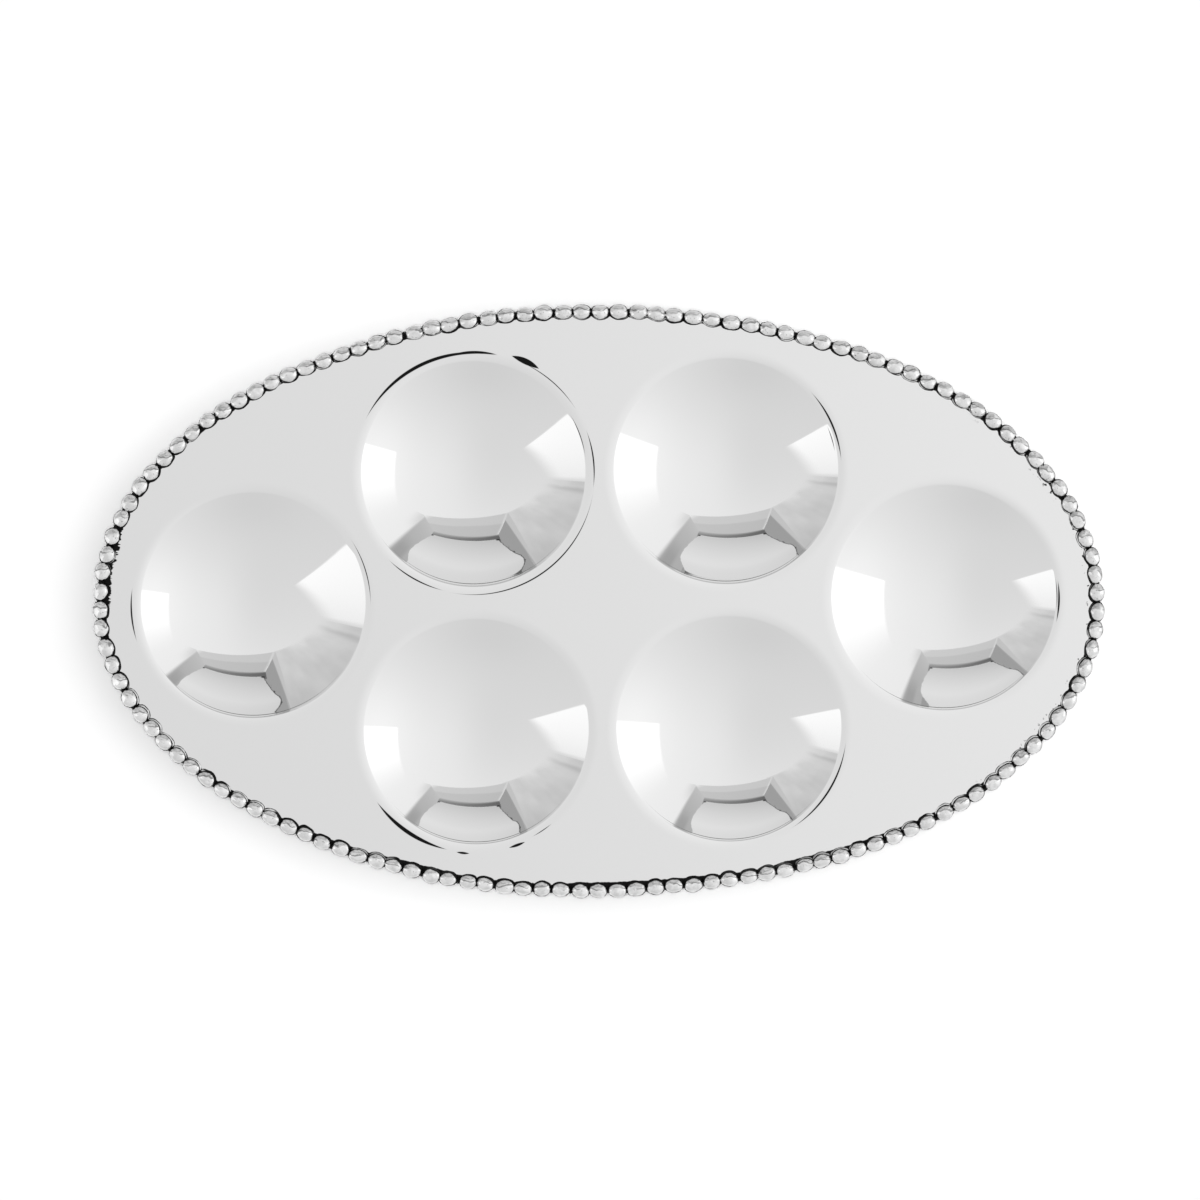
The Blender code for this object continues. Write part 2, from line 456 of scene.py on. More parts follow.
def satin_metal():
    """Underside of the tray, left with the marks of the wheel."""
    material, graph, shader = new_material("satin_underside")
    place = place_on_piece(graph)
    streaks = graph.add("ShaderNodeMapping", inputs={"Vector": place, "Scale": (12.0, 260.0, 60.0)})
    marks = noise(graph, streaks, 3.0, 5.0, 0.6)
    feed(
        graph,
        shader,
        Base_Color=blend(graph, marks, grey(0.72), grey(0.82)),
        Roughness=0.26 + 0.16 * marks,
        Normal=bump(graph, marks, 0.0001, 0.4),
    )
    return material


def antiqued_metal():
    """Polished beads with black between them and along their seats, and a painted reflection on their backs:
    a dark line with painted shade beyond it.
    """
    material, graph, shader = new_material("antiqued_beads")
    bead = graph.add("ShaderNodeAttribute", {"attribute_name": "bead_place"}, output="Vector")
    along, inwards, up = bead.parts()
    place = place_on_piece(graph)
    x, y, _ = place.parts()
    front = (y / -LINE_WIDTH).ramp(-1.0, 0.8)
    right = (x / LINE_LENGTH).ramp(0.3, 0.8)
    ragged = noise(graph, place, 420.0, 4.0, 0.6) - 0.5
    wander = noise(graph, place, 240.0, 2.0) - 0.5
    scratches = noise(graph, place, 1100.0, 3.0, 0.7)

    # Black round the foot of a bead, wider on its inner side, and broken on its outer side
    rim = (along**2.0 + inwards**2.0) ** 0.5
    lean = (0.04 + 0.08 * front + 0.07 * right) * inwards.most(0.0)
    outline = (rim + 0.11 * abs(along) + lean + 0.35 * ragged).ramp(0.98, 1.03)
    outer = (rim + 0.3 * ragged).ramp(0.90, 0.95) * (-inwards).ramp(0.1, 0.5)
    outer = outer * (0.35 + 0.45 * wander.ramp(-0.05, 0.1))

    # Painted reflection on the back of each bead, the side towards +Y: a dark line, with painted shade beyond
    # it
    lean_x, lean_y = x / LINE_LENGTH**2, y / LINE_WIDTH**2
    back = (along * lean_x - inwards * lean_y) / (lean_x**2.0 + lean_y**2.0) ** 0.5
    past_painted_line = back - 0.30 + 1.4 * wander
    painted_dark_line = 1.0 - abs(past_painted_line).ramp(0.04, 0.12)
    painted_dark_line = painted_dark_line * noise(graph, place, 170.0, 1.0).ramp(0.42, 0.55)
    painted_shade_blotches = right * noise(graph, place, 300.0, 3.0).ramp(0.4, 0.6)
    painted_shade = past_painted_line.ramp(-0.04, 0.08) * (0.13 + 0.24 * painted_shade_blotches)

    # Flecks in the scratches, then all the black of a bead, the painted line and shade included
    flecks = scratches.ramp(0.62, 0.67) * (inwards + 0.4).ramp(0.0, 0.7)
    black = outline.most(outer).most(0.65 * painted_dark_line).most(0.8 * flecks).most(painted_shade)

    # Collars and necks are black, apart from collars that shine behind the front
    filled = (y / -LINE_WIDTH).ramp(0.8, 0.95)
    shine = (noise(graph, place, 60.0, 1.0) + 0.06 * right).ramp(0.46, 0.56) * (1.0 - filled)
    fillet = 1.0 - 0.9 * shine * (1.0 - (rim + 0.4 * ragged).ramp(0.88, 0.94))
    on_collar = (0.75 * COLLAR_MARK - up).over(0.0)
    black = on_collar * fillet + (1.0 - on_collar) * black

    worn = noise(graph, place, 330.0, 2.0).ramp(0.3, 0.7)
    dents = noise(graph, place, 480.0, 2.0)
    feed(
        graph,
        shader,
        Base_Color=blend(graph, black, blend(graph, worn, grey(0.79), grey(0.94)), grey(0.015)),
        Roughness=0.05 + 0.08 * scratches + 0.4 * black,
        Normal=bump(graph, dents + 0.25 * scratches, 0.0004, 0.4),
    )
    return material


def face_lip(left):
    """Slope of a well's lip as a share of the steepest; left falls from 1 to 0 on the way out."""
    return 0.5 * left**10.0 + 0.5 * left**1.4


def under_lip(left):
    """The same below the lip, where the wall is rounder."""
    return left**1.7


def well_slope(radius, lip):
    """Slope of a well: a round bowl, a straighter side and a rolled lip."""
    if radius < WELL_SIDE_RADIUS:
        return math.asin(radius / BOWL_RADIUS)
    if radius < WELL_LIP_RADIUS:
        left = (WELL_LIP_RADIUS - radius) / (WELL_LIP_RADIUS - WELL_SIDE_RADIUS)
        gain = WELL_STEEPEST - math.asin(WELL_SIDE_RADIUS / BOWL_RADIUS)
        return WELL_STEEPEST - gain * left**SIDE_EASING
    left = max(WELL_MOUTH_RADIUS - radius, 0.0) / (WELL_MOUTH_RADIUS - WELL_LIP_RADIUS)
    return WELL_STEEPEST * lip(left)


def well_profile(lip):
    """A well from the flat round its mouth to its middle, as radius and height off the plate's face."""
    bands = [
        (WELL_MOUTH_RADIUS, WELL_LIP_RADIUS, LIP_STEPS, LIP_CROWDING),
        (WELL_LIP_RADIUS, WELL_SIDE_RADIUS, SIDE_STEPS, 1.0),
        (WELL_SIDE_RADIUS, 0.0, BOWL_STEPS, 1.0),
    ]
    profile = [(WELL_MOUTH_RADIUS + FLAT_MARGIN, 0.0), (WELL_MOUTH_RADIUS, 0.0)]
    for start, end, steps, crowding in bands:
        for step in range(1, steps + 1):
            radius, height = profile[-1]
            inner = end + (start - end) * (1.0 - step / steps) ** crowding
            drop = (radius - inner) * math.tan(well_slope((radius + inner) / 2, lip))
            profile.append((inner, height - drop))
    return profile


def under_profile():
    """Underside of a well: a wall below a face with a rounder lip, and a little deeper towards its foot."""
    profile = []
    for radius, height in well_profile(under_lip):
        slope = well_slope(radius, under_lip)
        outer = radius + WALL * math.sin(slope)
        deeper = FOOT_DEEPENING * max(1.0 - outer / WELL_MOUTH_RADIUS, 0.0)
        profile.append((outer, height - WALL * math.cos(slope) - deeper))
    return profile


def spin_well(bm, centre, profile):
    """One side of a well, turned from its profile."""
    x, y = centre
    verts = [bm.verts.new((x + radius, y, PLATE_TOP + height)) for radius, height in profile]
    edges = [bm.edges.new(pair) for pair in zip(verts, verts[1:])]
    turn = {"cent": (x, y, 0.0), "axis": (0.0, 0.0, 1.0), "angle": math.tau}
    bmesh.ops.spin(bm, geom=verts + edges, steps=WELL_SEGMENTS, use_merge=True, **turn)


def tray_side(profile, slot):
    """Face or underside of the tray with its wells, open along the tray's edge."""
    bm = bmesh.new()
    for centre in WELL_CENTRES.values():
        spin_well(bm, centre, profile)
    bmesh.ops.remove_doubles(bm, verts=bm.verts, dist=MERGE_DISTANCE)
    level = PLATE_TOP + profile[0][1]
    edge_steps = EDGE_STEPS_PER_BEAD * BEADS_AROUND
    ring = []
    for step in range(edge_steps):
        angle = math.tau * step / edge_steps
        x, y = oval_point(math.cos(angle), math.sin(angle), inset=SEAT_GAP)
        ring.append(bm.verts.new((x, y, level)))
    for first, second in zip(ring, ring[1:] + ring[:1]):
        bm.edges.new((first, second))
    open_edges = [edge for edge in bm.edges if len(edge.link_faces) < 2]
    bmesh.ops.triangle_fill(bm, edges=open_edges, use_beauty=True)
    for face in bm.faces:
        face.material_index = slot
    mesh = bpy.data.meshes.new("tray_side")
    bm.to_mesh(mesh)
    bm.free()
    return mesh


def tray_shell():
    """Closed mesh of the tray, its feet cut flat at the table's level."""
    bm = bmesh.new()
    for profile, slot in ((well_profile(face_lip), 0), (under_profile(), 1)):
        side = tray_side(profile, slot)
        bm.from_mesh(side)
        bpy.data.meshes.remove(side)
    rims = [edge for edge in bm.edges if edge.is_boundary]
    wall = bmesh.ops.bridge_loops(bm, edges=rims)["faces"]
    everything = list(bm.verts) + list(bm.edges) + list(bm.faces)
    level = {"plane_co": (0, 0, 0), "plane_no": (0, 0, 1)}
    cut = bmesh.ops.bisect_plane(bm, geom=everything, clear_inner=True, **level)
    rims = [item for item in cut["geom_cut"] if isinstance(item, bmesh.types.BMEdge)]
    feet = bmesh.ops.holes_fill(bm, edges=rims, sides=0)["faces"]
    for face in wall + feet:
        face.material_index = 1
    bmesh.ops.recalc_face_normals(bm, faces=bm.faces)
    for face in bm.faces:
        face.smooth = True
    mesh = bpy.data.meshes.new("polished_tray")
    bm.to_mesh(mesh)
    bm.free()
    mesh.set_sharp_from_angle(angle=SHARP_ANGLE)
    return mesh


def plain_mesh(holder, name):
    """Mesh of an object as its modifiers leave it, on a new object at the origin."""
    graph = bpy.context.evaluated_depsgraph_get()
    mesh = bpy.data.meshes.new_from_object(holder.evaluated_get(graph))
    bpy.data.objects.remove(holder, do_unlink=True)
    mesh.name = name
    piece = bpy.data.objects.new(name, mesh)
    bpy.context.scene.collection.objects.link(piece)
    return piece


def make_tray():
    """Piece for the tray: polished above, satin below."""
    mesh = tray_shell()
    mesh.materials.append(polished_metal())
    mesh.materials.append(satin_metal())
    tray = bpy.data.objects.new("polished_tray", mesh)
    bpy.context.scene.collection.objects.link(tray)
    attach(tray, "root")
    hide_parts("tray_body")


BORDER_INPUTS = {
    "Half Length": ("NodeSocketFloat", LINE_LENGTH),
    "Half Width": ("NodeSocketFloat", LINE_WIDTH),
    "Height": ("NodeSocketFloat", PLATE_TOP + SEAT_GAP),
    "First Bead": ("NodeSocketInt", 0),
    "Bead Count": ("NodeSocketInt", 17),
    "Beads Around": ("NodeSocketInt", BEADS_AROUND),
    "Bead Length": ("NodeSocketFloat", BEAD_LENGTH),
    "Bead Width": ("NodeSocketFloat", BEAD_WIDTH),
    "Neck Width": ("NodeSocketFloat", NECK_WIDTH),
    "Seed": ("NodeSocketInt", BEAD_SEED),
}


def random_value(graph, index, seed):
    """Random number from -1 to 1."""
    inputs = {"Min": -1.0, "Max": 1.0, "ID": index, "Seed": seed}
    return graph.add("FunctionNodeRandomValue", {"data_type": "FLOAT"}, inputs)


def sample_oval(graph, oval, factor):
    """Place on the oval at a share of its length."""
    settings = {"mode": "FACTOR", "use_all_curves": True}
    inputs = {"Curves": oval, "Factor": factor}
    return graph.add("GeometryNodeSampleCurve", settings, inputs, output="Position")


def vector(graph, x, y, z):
    return graph.add("ShaderNodeCombineXYZ", inputs={0: x, 1: y, 2: z})


def shift(graph, first, second):
    return graph.add("ShaderNodeVectorMath", {"operation": "ADD"}, {0: first, 1: second})


def ball_shape(graph, rings):
    inputs = {"Segments": BEAD_SEGMENTS, "Rings": rings, "Radius": 1.0}
    return graph.add("GeometryNodeMeshUVSphere", inputs=inputs)


def bead_shape(graph):
    """One bead at unit size, along X, with the rebate that hooks over the tray's edge on its +Y side."""
    x, y, z = graph.add("GeometryNodeInputPosition").parts()
    rebate = y.over(0.0) * (-z).over(0.0)
    upright = (abs(z) - abs(y)).over(0.0)
    cut = vector(graph, x, y * (1.0 - rebate * upright), z * (1.0 - rebate * (1.0 - upright)))
    inputs = {"Geometry": ball_shape(graph, BEAD_RINGS), "Position": cut}
    bead = graph.add("GeometryNodeSetPosition", inputs=inputs)
    return store_place(graph, bead, graph.add("GeometryNodeInputPosition"))


def collar_shape(graph):
    """Low blackened fillet that a bead stands in, at unit size; its stored place is marked in Z."""
    x, y, z = graph.add("GeometryNodeInputPosition").parts()
    inputs = {"Geometry": ball_shape(graph, COLLAR_RINGS), "Position": vector(graph, x, y, z.most(0.0))}
    collar = graph.add("GeometryNodeSetPosition", inputs=inputs)
    return store_place(graph, collar, vector(graph, x, y, COLLAR_MARK))


def store_place(graph, geometry, place):
    settings = {"data_type": "FLOAT_VECTOR", "domain": "POINT"}
    inputs = {"Geometry": geometry, "Name": "bead_place", "Value": place}
    return graph.add("GeometryNodeStoreNamedAttribute", settings, inputs)


def wandering_oval(graph, sizes):
    """Curve of the border's middle line."""
    inputs = {"Resolution": OVAL_STEPS, "Radius": 1.0}
    circle = graph.add("GeometryNodeCurvePrimitiveCircle", inputs=inputs)
    x, y, _ = graph.add("GeometryNodeInputPosition").parts()
    x, y = oval_point(x, y, sizes.out("Half Length"), sizes.out("Half Width"))
    inputs = {"Geometry": circle, "Position": vector(graph, x, y, sizes.out("Height"))}
    return graph.add("GeometryNodeSetPosition", inputs=inputs)


def dented(graph, geometry):
    """Geometry with its points shaken by a fine noise."""
    inputs = {"Scale": DENT_SCALE, "Detail": 1.0}
    shake = graph.add("ShaderNodeTexNoise", inputs=inputs, output="Color")
    inputs = {0: shake, 1: (0.5, 0.5, 0.5)}
    shake = graph.add("ShaderNodeVectorMath", {"operation": "SUBTRACT"}, inputs)
    shake = graph.add("ShaderNodeVectorMath", {"operation": "SCALE"}, {0: shake, "Scale": DENT_SIZE})
    return graph.add("GeometryNodeSetPosition", inputs={"Geometry": geometry, "Offset": shake})


def border_neck(graph, sizes, oval):
    """Thin bar along the oval that carries the beads, with the same rebate."""
    place = graph.add("GeometryNodeInputIndex") / NECK_STEPS_PER_BEAD + sizes.out("First Bead")
    spot = sample_oval(graph, oval, place / sizes.out("Beads Around"))
    inputs = {"Count": sizes.out("Bead Count") * NECK_STEPS_PER_BEAD + 1, "Position": spot}
    line = graph.add("GeometryNodePoints", inputs=inputs)
    line = graph.add("GeometryNodePointsToCurves", inputs={"Points": line})
    line = graph.add("GeometryNodeSetCurveNormal", {"mode": "Z_UP"}, {"Curve": line})
    inputs = {
        "Resolution": NECK_SECTION_STEPS,
        "Radius": sizes.out("Neck Width") / 2,
        "Start Angle": -math.pi / 2,
        "Sweep Angle": 1.5 * math.pi,
        "Connect Center": True,
    }
    section = graph.add("GeometryNodeCurveArc", {"mode": "RADIUS"}, inputs)
    inputs = {"Curve": line, "Profile Curve": section, "Fill Caps": True}
    return store_place(graph, graph.add("GeometryNodeCurveToMesh", inputs=inputs), NECK_PLACE)


def beads_and_collars(graph, sizes, oval):
    """Uneven beads set along the oval, each in its collar."""
    number = graph.add("GeometryNodeInputIndex") + sizes.out("First Bead")
    strays = [random_value(graph, number, sizes.out("Seed") + place) for place in range(7)]
    along, out, turn, longer, wider, higher, collar = strays
    spot = sample_oval(graph, oval, (number + 0.5 + STRAY_ALONG * along) / sizes.out("Beads Around"))
    tangent_x, tangent_y, _ = spot.out("Tangent").parts()
    heading = spot.math("ARCTAN2", tangent_y, tangent_x) + STRAY_TURN * turn

    def set_along(shape, outwards, drop, size):
        off = vector(graph, tangent_y * outwards, -tangent_x * outwards, -drop)
        inputs = {"Count": sizes.out("Bead Count"), "Position": shift(graph, spot, off)}
        points = graph.add("GeometryNodePoints", inputs=inputs)
        heads = vector(graph, 0.0, 0.0, heading)
        inputs = {"Points": points, "Instance": shape, "Rotation": heads, "Scale": size}
        instances = graph.add("GeometryNodeInstanceOnPoints", inputs=inputs)
        return graph.add("GeometryNodeRealizeInstances", inputs={"Geometry": instances})

    spot_x, spot_y, _ = spot.parts()
    front = (spot_y / -LINE_WIDTH).ramp(-0.3, 0.6)
    left = (spot_x / -LINE_LENGTH).ramp(0.75, 0.95)
    right = (spot_x / LINE_LENGTH).ramp(0.75, 0.95)
    outwards = STRAY_OUTWARDS * out
    half_length = sizes.out("Bead Length") / 2 * (1.0 + STRAY_LENGTH * longer)
    across = BEAD_ACROSS + BEAD_ACROSS_LEFT * left + BEAD_ACROSS_RIGHT * right + STRAY_WIDTH * wider
    half_width = sizes.out("Bead Width") / 2 * across
    half_height = sizes.out("Bead Width") / 2 * (BEAD_UP + STRAY_HEIGHT * higher)
    size = vector(graph, half_length, half_width, half_height)
    beads = set_along(bead_shape(graph), outwards, 0.0, size)
    reach = COLLAR_REACH + COLLAR_REACH_IN_FRONT * front + STRAY_COLLAR * collar
    size = vector(graph, half_length * COLLAR_LENGTH, half_width + reach - COLLAR_SHIFT, COLLAR_HEIGHT)
    collars = set_along(collar_shape(graph), outwards - COLLAR_SHIFT, COLLAR_SINK, size)
    return dented(graph, beads), dented(graph, collars)


def border_tree(material):
    """Node tree of one border length: beads in their collars on a neck along the oval."""
    tree = bpy.data.node_groups.new("beaded_border", "GeometryNodeTree")
    for name, (kind, value) in BORDER_INPUTS.items():
        tree.interface.new_socket(name, in_out="INPUT", socket_type=kind).default_value = value
    tree.interface.new_socket("Geometry", in_out="OUTPUT", socket_type="NodeSocketGeometry")
    graph = Graph(tree)
    sizes = graph.add("NodeGroupInput")
    oval = wandering_oval(graph, sizes)
    joined = graph.add("GeometryNodeJoinGeometry")
    for part in (*beads_and_collars(graph, sizes, oval), border_neck(graph, sizes, oval)):
        tree.links.new(part.socket, joined.socket.node.inputs[0])
    inputs = {"Geometry": joined, "Shade Smooth": True}
    smooth = graph.add("GeometryNodeSetShadeSmooth", inputs=inputs)
    finished = graph.add("GeometryNodeSetMaterial", inputs={"Geometry": smooth, "Material": material})
    graph.add("NodeGroupOutput", inputs={"Geometry": finished})
    return tree


def make_border():
    """Pieces for the eight lengths of the border."""
    tree = border_tree(antiqued_metal())
    items = tree.interface.items_tree
    sockets = {item.name: item.identifier for item in items if item.in_out == "INPUT"}
    first = 0
    for number, count in enumerate(BEADS_IN_LENGTHS, start=1):
        holder = bpy.data.objects.new("border_holder", bpy.data.meshes.new("border_holder"))
        bpy.context.scene.collection.objects.link(holder)
        nodes = holder.modifiers.new("beads", "NODES")
        nodes.node_group = tree
        nodes[sockets["First Bead"]] = first
        nodes[sockets["Bead Count"]] = count
        piece = plain_mesh(holder, f"beads_{number}")
        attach(piece, "root")
        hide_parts(f"bead_border_{number}")
        first += count


def make_camera():
    """Camera straight above the plate, framed as the photograph is."""
    camera = bpy.data.cameras.new("camera")
    height = PLATE_TOP + SEAT_GAP
    metres_per_pixel = HALF_LENGTH / PHOTO_HALF_LENGTH
    camera.sensor_width = SENSOR_WIDTH
    camera.lens = SENSOR_WIDTH * CAMERA_DISTANCE / (PHOTO_PIXELS * metres_per_pixel)
    camera.clip_end = CAMERA_REACH
    holder = bpy.data.objects.new("camera", camera)
    holder.location = (
        (PHOTO_PIXELS / 2 - PHOTO_CENTRE[0]) * metres_per_pixel,
        (PHOTO_CENTRE[1] - PHOTO_PIXELS / 2) * metres_per_pixel,
        height + CAMERA_DISTANCE,
    )
    holder.rotation_euler.z = PHOTO_TURN
    bpy.context.scene.collection.objects.link(holder)
    bpy.context.scene.camera = holder


def light_material(name, coordinates, shade):
    """Material that only gives light: shade turns the three coordinates into a tone and a cover."""
    material = bpy.data.materials.new(name)
    material.use_nodes = True
    graph = Graph(material.node_tree)
    nodes = material.node_tree.nodes
    nodes.remove(nodes["Principled BSDF"])
    tone, cover = shade(graph, graph.add("ShaderNodeTexCoord", output=coordinates))
    light = graph.add("ShaderNodeEmission", inputs={"Color": tone, "Strength": 1.0})
    clear = graph.add("ShaderNodeBsdfTransparent")
    mixed = graph.add("ShaderNodeMixShader", inputs={0: cover, 1: clear, 2: light})
    material.node_tree.links.new(mixed.socket, nodes["Material Output"].inputs["Surface"])
    return material


def mirrored_only(name, mesh, material):
    """Put up a part of the studio that only the metal sees."""
    mesh.materials.append(material)
    holder = bpy.data.objects.new(name, mesh)
    holder.visible_camera = False
    holder.visible_diffuse = False
    holder.visible_shadow = False
    bpy.context.scene.collection.objects.link(holder)


def screen(name, corners, shade):
    """Flat four-cornered screen; shade gets the places across it and up it, each from 0 to 1."""
    mesh = bpy.data.meshes.new(name)
    mesh.from_pydata(corners, [], [(0, 1, 2, 3)])
    spread = mesh.uv_layers.new(name="spread")
    for loop, place in zip(spread.data, [(0, 0), (1, 0), (1, 1), (0, 1)]):
        loop.uv = place
    mirrored_only(name, mesh, light_material(name, "UV", shade))


def standing(start, end, height):
    """Corners of an upright screen between two points of the floor plan."""
    return [(*start, 0.0), (*end, 0.0), (*end, height), (*start, height)]


def make_tent():
    """Pale dome round the plate that glows towards the lamp on the right and is dimmer in front."""

    def spot(graph, place, middle, width):
        """Soft round spot that is 1 in its middle."""
        inputs = {0: place, 1: middle}
        away = graph.add("ShaderNodeVectorMath", {"operation": "DISTANCE"}, inputs, output="Value")
        return away.math("EXPONENT", -((away / width) ** 2.0))

    def shade(graph, place):
        x, y, z = place.parts()
        glow = 0.18 * spot(graph, place, GLOW_MIDDLE, 0.52)
        shadow = 0.05 * spot(graph, place, SHADOW_MIDDLE, 0.45)
        overhead = 0.048 * x.math("TANH", (x - 0.04) / 0.27) * (z / TENT_RADIUS) ** 4.0
        return 0.814 + glow + 0.049 * x + 0.072 * y + overhead - shadow, 1.0

    bm = bmesh.new()
    bmesh.ops.create_uvsphere(bm, u_segments=64, v_segments=32, radius=TENT_RADIUS)
    low = [vert for vert in bm.verts if vert.co.z < -0.01]
    bmesh.ops.delete(bm, geom=low, context="VERTS")
    mesh = bpy.data.meshes.new("tent")
    bm.to_mesh(mesh)
    bm.free()
    mirrored_only("tent", mesh, light_material("tent", "Object", shade))


def make_table_tone():
    """Tone of the table as the metal mirrors it, with the plate's shadow painted in: dark below the plate,
    paler away from it.
    """

    def shade(graph, place):
        x, y, _ = place.parts()
        return 0.05 + 0.8 * (-inside_line(x, y)).ramp(-0.012, 0.006), 1.0

    mesh = bpy.data.meshes.new("table_tone")
    mesh.from_pydata(TABLE_CORNERS, [], [(0, 1, 2, 3)])
    mirrored_only("table_tone", mesh, light_material("table_tone", "Object", shade))


def make_side_lights():
    """Softbox on the right and reflector on the left, each sharp along its front edge."""

    def softbox(graph, place):
        across, up, _ = place.parts()
        sides = across.ramp(0.0, 0.02) * (1.0 - across.ramp(0.18, 0.75))
        return 1.25 - 0.2 * across, sides * (1.0 - up.ramp(0.91, 1.0))

    def reflector(graph, place):
        across, up, _ = place.parts()
        sides = (1.0 - across).ramp(0.0, 0.02) * across.ramp(0.0, 0.12)
        top = 1.0 - up.ramp(0.36 + 0.29 * across, 0.84 + 0.16 * across)
        return 0.92 + 0.16 * across, sides * top

    screen("softbox", standing(SOFTBOX_FRONT, SOFTBOX_BACK, SOFTBOX_HEIGHT), softbox)
    screen("reflector", REFLECTOR_CORNERS, reflector)


def make_back():
    """Glowing screens that only the metal sees, standing in for a white board in a grey recess behind the
    plate with a grey cloth beside it; the light and shade of that room are painted into their glow.
    """

    def board(graph, place):
        """Pale within its bowed edges, with a dark torn margin and two dark pins."""
        across, up, _ = place.parts()
        height = BOARD_RISE * up
        above, below = (height - 0.24).most(0.0), (0.24 - height).most(0.0)
        left = across - 0.108 - 0.15 * above**0.6 - 40.0 * below**3.2
        above, below = (height - 0.34).most(0.0), (0.34 - height).most(0.0)
        right = 0.876 - 0.52 * above**2.0 - 6.6 * below**3.0 - across
        top = 0.572 + 0.026 * across - height
        bottom = height - 0.093 - 0.05 * ((across - 0.49) / 0.38) ** 6.0
        sides = left.least(right) + 0.02 * (noise(graph, place, 14.0, 2.0) - 0.5)
        room = sides.least(top).least(bottom)
        pale = 0.61 + 0.26 * across - 0.14 * across**2.0 - 0.5 * (height.most(0.2) - 0.4)
        pale = pale - 0.06 * (1.0 - height.ramp(0.10, 0.24)) + 0.12 * (1.0 - top.ramp(0.0, 0.016))
        torn = 0.010 + 0.018 * noise(graph, place, 9.0, 2.0).ramp(0.50, 0.65)
        torn = torn * (1.0 - across.ramp(0.3, 0.6)) - 0.004
        shown = (sides + torn).least(top).least(bottom + 0.008).ramp(-0.003, 0.0)
        tone = 0.10 + (pale - 0.10) * room.ramp(-0.002, 0.002)
        for pin_across, pin_height, pin_size in BOARD_PINS:
            away = ((0.8 * (across - pin_across)) ** 2.0 + (height - pin_height) ** 2.0) ** 0.5
            pin = 1.0 - away.ramp(0.6 * pin_size, pin_size)
            tone, shown = tone - (tone - 0.03) * pin, shown.most(pin)
        return tone, shown

    def backing(graph, place):
        """Grey in bands, darkest near the top."""
        across, up, _ = place.parts()
        dark = 0.14 + 0.14 * across
        tone = 0.60 - 0.24 * up.ramp(0.15, 0.18) + (dark - 0.36) * up.ramp(0.80, 0.83)
        return tone + (0.50 - dark) * up.ramp(0.96 - 0.05 * across, 1.02), 1.0

    def cloth(graph, place):
        """Grey in soft folds, lower towards the front."""
        across, up, _ = place.parts()
        folds = noise(graph, vector(graph, across * 4.5, up * 2.0, 0.0), 1.0, 2.0, 0.5)
        painted_dark_line = 1.0 - abs(across - 0.92 + 0.1 * folds).ramp(0.0, 0.06)
        tone = 0.42 + 0.28 * folds + 0.16 * up + 0.06 * across - 0.10 * painted_dark_line
        soft = 0.006 + 0.16 * across**2.0
        return tone, (0.70 - 0.35 * across - 0.70 * up).ramp(-soft, soft)

    def right_cheek(graph, place):
        """Grey that fades out towards the front, with a painted shadow low down near the board."""
        across, up, _ = place.parts()
        deep, height = RIGHT_CHEEK_DEPTH * (1.0 - across), RECESS_TOP * up
        haze = 0.45 * (1.0 - deep.ramp(0.19, 0.29)) * height.ramp(0.25, 0.50)
        top = (RECESS_TOP - 0.09 * deep - (deep - 0.2).most(0.0) - height).ramp(-0.004, 0.004)
        # Painted shadow low on the cheek near the board
        low_painted_shadow = (1.0 - abs(deep - 0.13).ramp(0.02, 0.06)) * (1.0 - height.ramp(0.12, 0.30))
        cover = (1.0 - deep.ramp(0.170, 0.205)).most(haze) * top
        return 0.46 + 0.12 * up**2.0 - 0.08 * low_painted_shadow, cover

    def left_cheek(graph, place):
        """Dark grey, paler where the cloth ends."""
        across, up, _ = place.parts()
        cloth_end = 1.0 - (across - 0.32 * up + 0.01).ramp(-0.03, 0.03)
        return 0.37 + 0.22 * cloth_end, 1.0

    def ceiling(graph, place):
        """Grey with a paler edge on the left."""
        across, back, _ = place.parts()
        cover = across.ramp(0.008, 0.014) * (back + 2.0 * (1.0 - across)).ramp(0.0, 0.35)
        tone = 0.665 - 0.07 * back.ramp(0.4, 0.5) - 0.05 * (1.0 - across)
        return tone + 0.09 * (1.0 - across.ramp(0.030, 0.042)), cover

    top_left = (RECESS_LEFT, RECESS_BACK, RECESS_TOP)
    top_right = (RECESS_RIGHT, RECESS_BACK, RECESS_TOP)
    foot_left, foot_right = (RECESS_LEFT, RECESS_FOOT, 0.0), (RECESS_RIGHT, RECESS_FOOT, 0.0)
    screen("board", BOARD_CORNERS, board)
    screen("backing", [foot_left, foot_right, top_right, top_left], backing)
    screen("right_cheek", standing(RIGHT_CHEEK_FRONT, top_right[:2], RECESS_TOP), right_cheek)
    corners = [LEFT_CHEEK_FOOT, (RECESS_LEFT, RECESS_BACK, 0.0), top_left, CEILING_FRONT_LEFT]
    screen("left_cheek", corners, left_cheek)
    screen("back_ceiling", [CEILING_FRONT_LEFT, CEILING_FRONT_RIGHT, top_right, top_left], ceiling)
    screen("cloth", standing(CLOTH_BACK, CLOTH_FRONT, CLOTH_HEIGHT), cloth)


def make_floor():
    """Plain pale floor, which the metal doesn't mirror."""
    mesh = bpy.data.meshes.new("floor")
    mesh.from_pydata(TABLE_CORNERS, [], [(0, 1, 2, 3)])
    material = bpy.data.materials.new("pale_floor")
    material.use_nodes = True
    shader = material.node_tree.nodes["Principled BSDF"]
    shader.inputs["Base Color"].default_value = grey(FLOOR_TONE)
    shader.inputs["Specular IOR Level"].default_value = 0.0
    mesh.materials.append(material)
    floor = bpy.data.objects.new("floor", mesh)
    floor.visible_glossy = False
    bpy.context.scene.collection.objects.link(floor)


def make_world():
    """Plain white beyond the floor, which gives no light itself."""
    world = bpy.data.worlds.new("white_room")
    bpy.context.scene.world = world
    world.use_nodes = True
    background = world.node_tree.nodes["Background"]
    background.inputs["Color"].default_value = grey(1.0)
    background.inputs["Strength"].default_value = 1.0
    world.cycles_visibility.diffuse = False


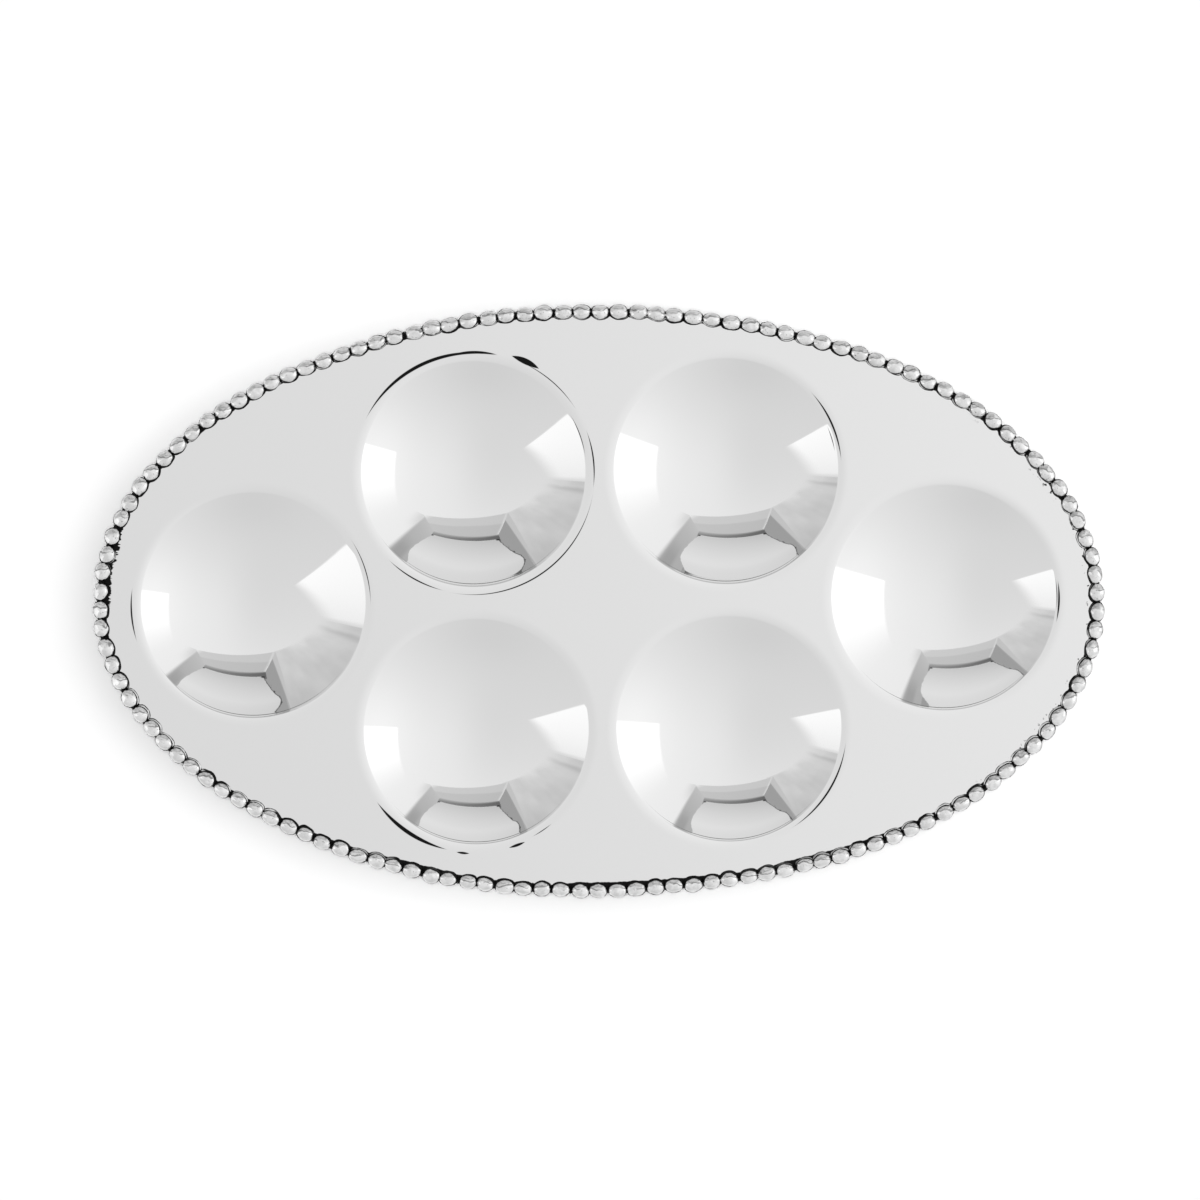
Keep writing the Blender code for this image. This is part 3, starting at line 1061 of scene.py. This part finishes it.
def make_lamp(name, direction, energy, spread):
    """Lamp that only lights the floor: the metal mirrors the studio instead."""
    lamp = bpy.data.lights.new(name, "SUN")
    lamp.energy = energy
    lamp.angle = math.radians(spread)
    holder = bpy.data.objects.new(name, lamp)
    holder.rotation_euler = Vector(direction).to_track_quat("-Z", "Y").to_euler()
    holder.visible_glossy = False
    bpy.context.scene.collection.objects.link(holder)


make_tray()
make_border()
make_camera()
make_tent()
make_table_tone()
make_side_lights()
make_back()
make_floor()
make_world()
make_lamp("overhead_lamp", direction=(0.0, 0.0, -1.0), energy=2.69, spread=10)
make_lamp("right_lamp", direction=(-0.416, -0.073, -0.906), energy=1.42, spread=49)
view = bpy.context.scene.view_settings
view.view_transform = "Standard"
view.look = "None"
